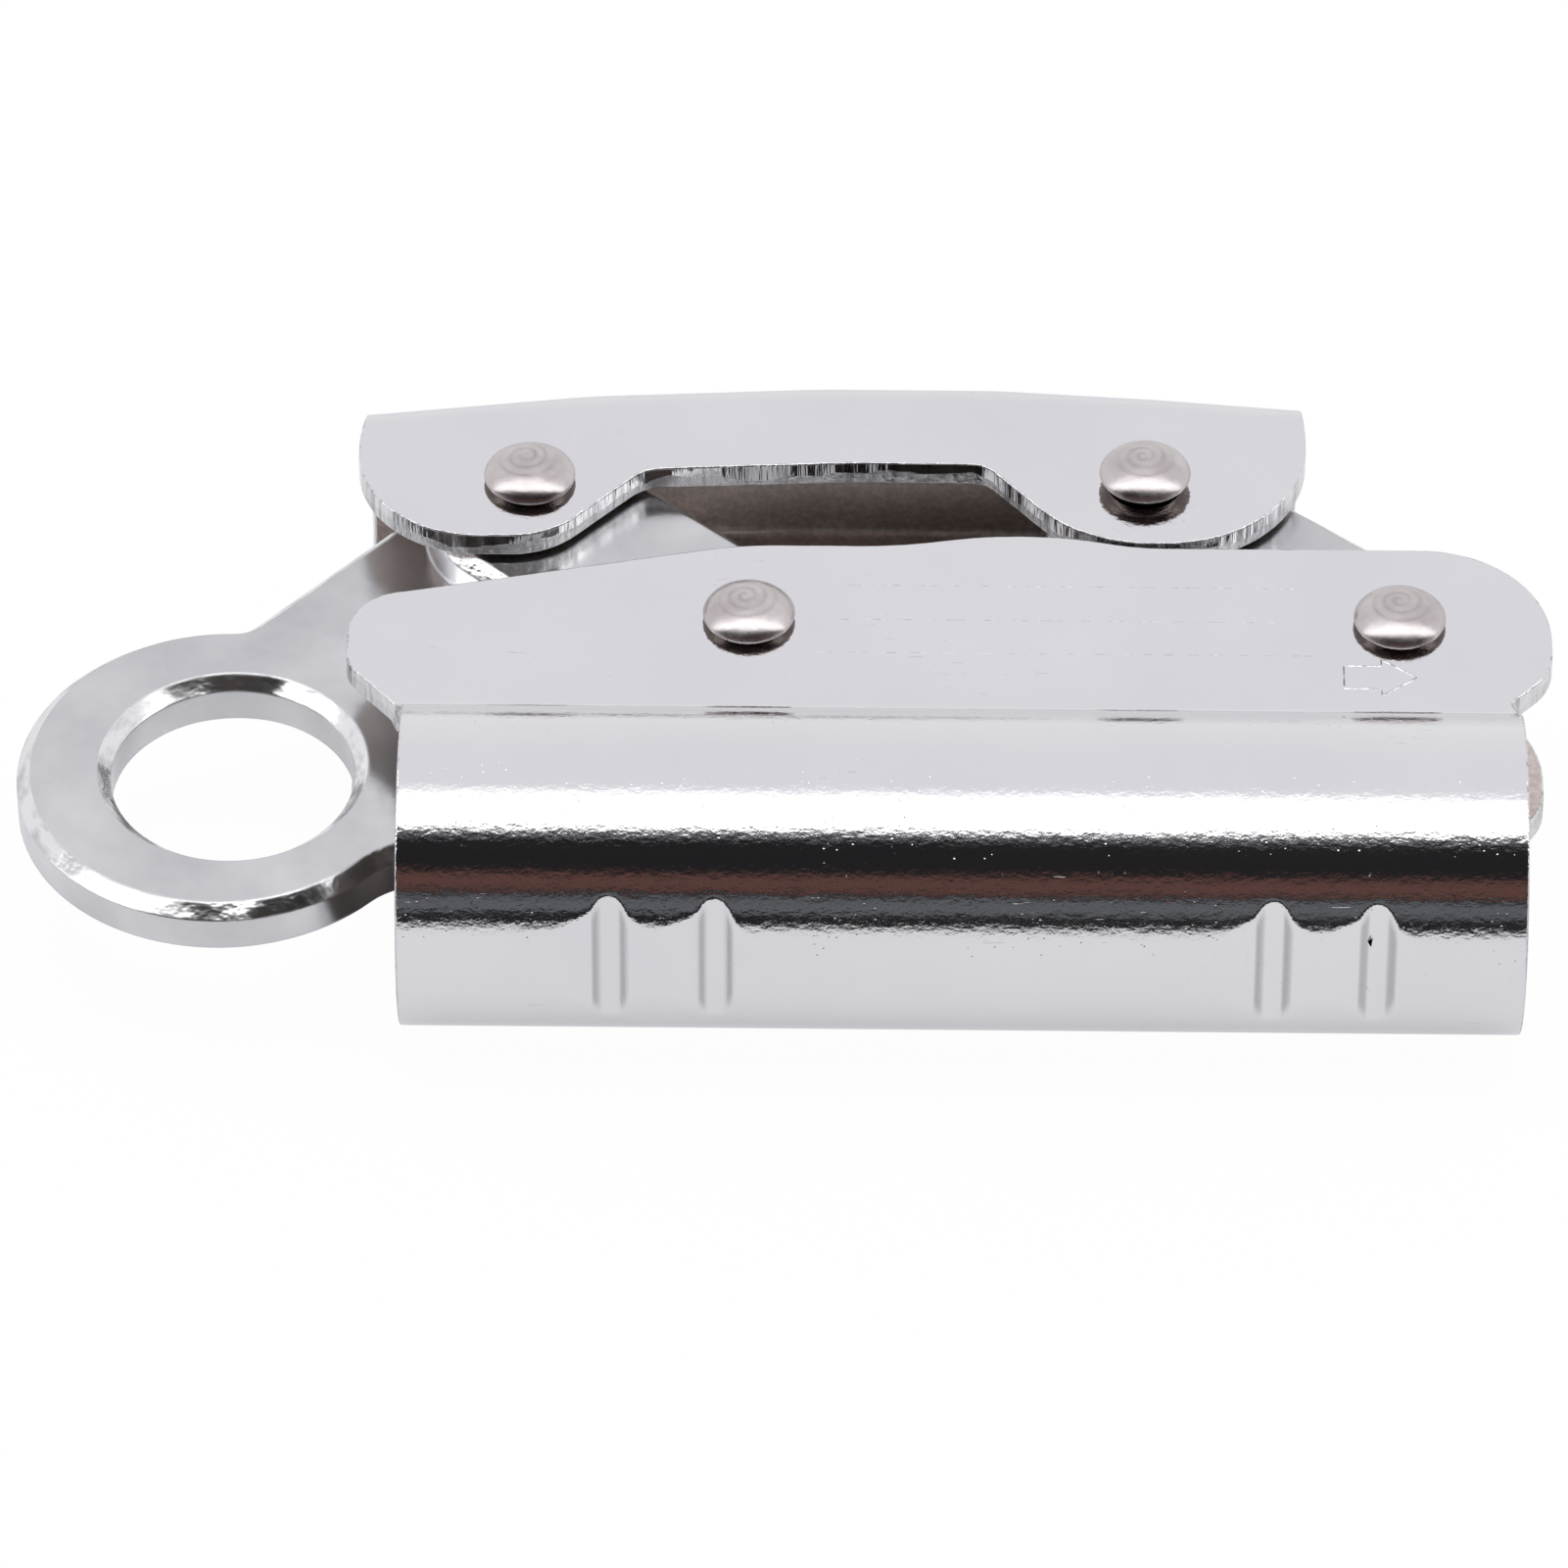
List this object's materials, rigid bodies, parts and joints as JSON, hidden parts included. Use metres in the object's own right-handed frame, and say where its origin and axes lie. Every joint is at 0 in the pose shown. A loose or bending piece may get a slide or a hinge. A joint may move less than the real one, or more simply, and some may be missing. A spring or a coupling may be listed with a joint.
{
  "type": "rope grab",
  "caption": "Plated steel fall-arrest rope grab: a keyhole-section rope channel, two toothed cams joined by a handle link, and an eye on the lower cam's lever.",
  "frame": {"origin": "on the axis of the rope tube, at half its length, midway between the two side plates", "axes": "+X along the rope towards the upper end, +Y from the rope towards the handle link, +Z square to the side plates, so the part lies on its side"},
  "size_m": [0.1685, 0.0846, 0.035],
  "materials": {
    "plated_sheet": "bright zinc plating on pressed steel sheet",
    "plated_casting": "bright plating over a slightly rough casting",
    "rivet_steel": "satin spun rivet heads, slightly warm grey"
  },
  "bodies": {
    "channel": {"body_channel": "plated_sheet", "lower_pivot_rivet": "rivet_steel", "upper_pivot_rivet": "rivet_steel"},
    "lever": {"eye_lever": "plated_casting"},
    "cam": {"upper_cam": "plated_casting"},
    "link": {"handle_link": "plated_sheet", "lower_link_rivet": "rivet_steel", "upper_link_rivet": "rivet_steel"}
  },
  "joints": [
    {"name": "lever_pivot", "type": "hinge", "parent": "channel", "child": "lever", "pos_m": [-0.0235, 0.02685, 0], "axis": [0, 0, -1], "range_deg": [0, 32]},
    {"name": "cam_pivot", "type": "hinge", "parent": "channel", "child": "cam", "pos_m": [0.0481, 0.02685, 0], "axis": [0, 0, -1], "range_deg": [0, 31.2]},
    {"name": "link_pivot", "type": "hinge", "parent": "lever", "child": "link", "pos_m": [-0.04825, 0.04905, 0], "axis": [0, 0, -1], "range_deg": [-33.3, 0]}
  ],
  "couplings": [
    {"joint": "cam_pivot", "follows": "lever_pivot", "ratio": 0.9711},
    {"joint": "link_pivot", "follows": "lever_pivot", "ratio": -1.0356}
  ]
}
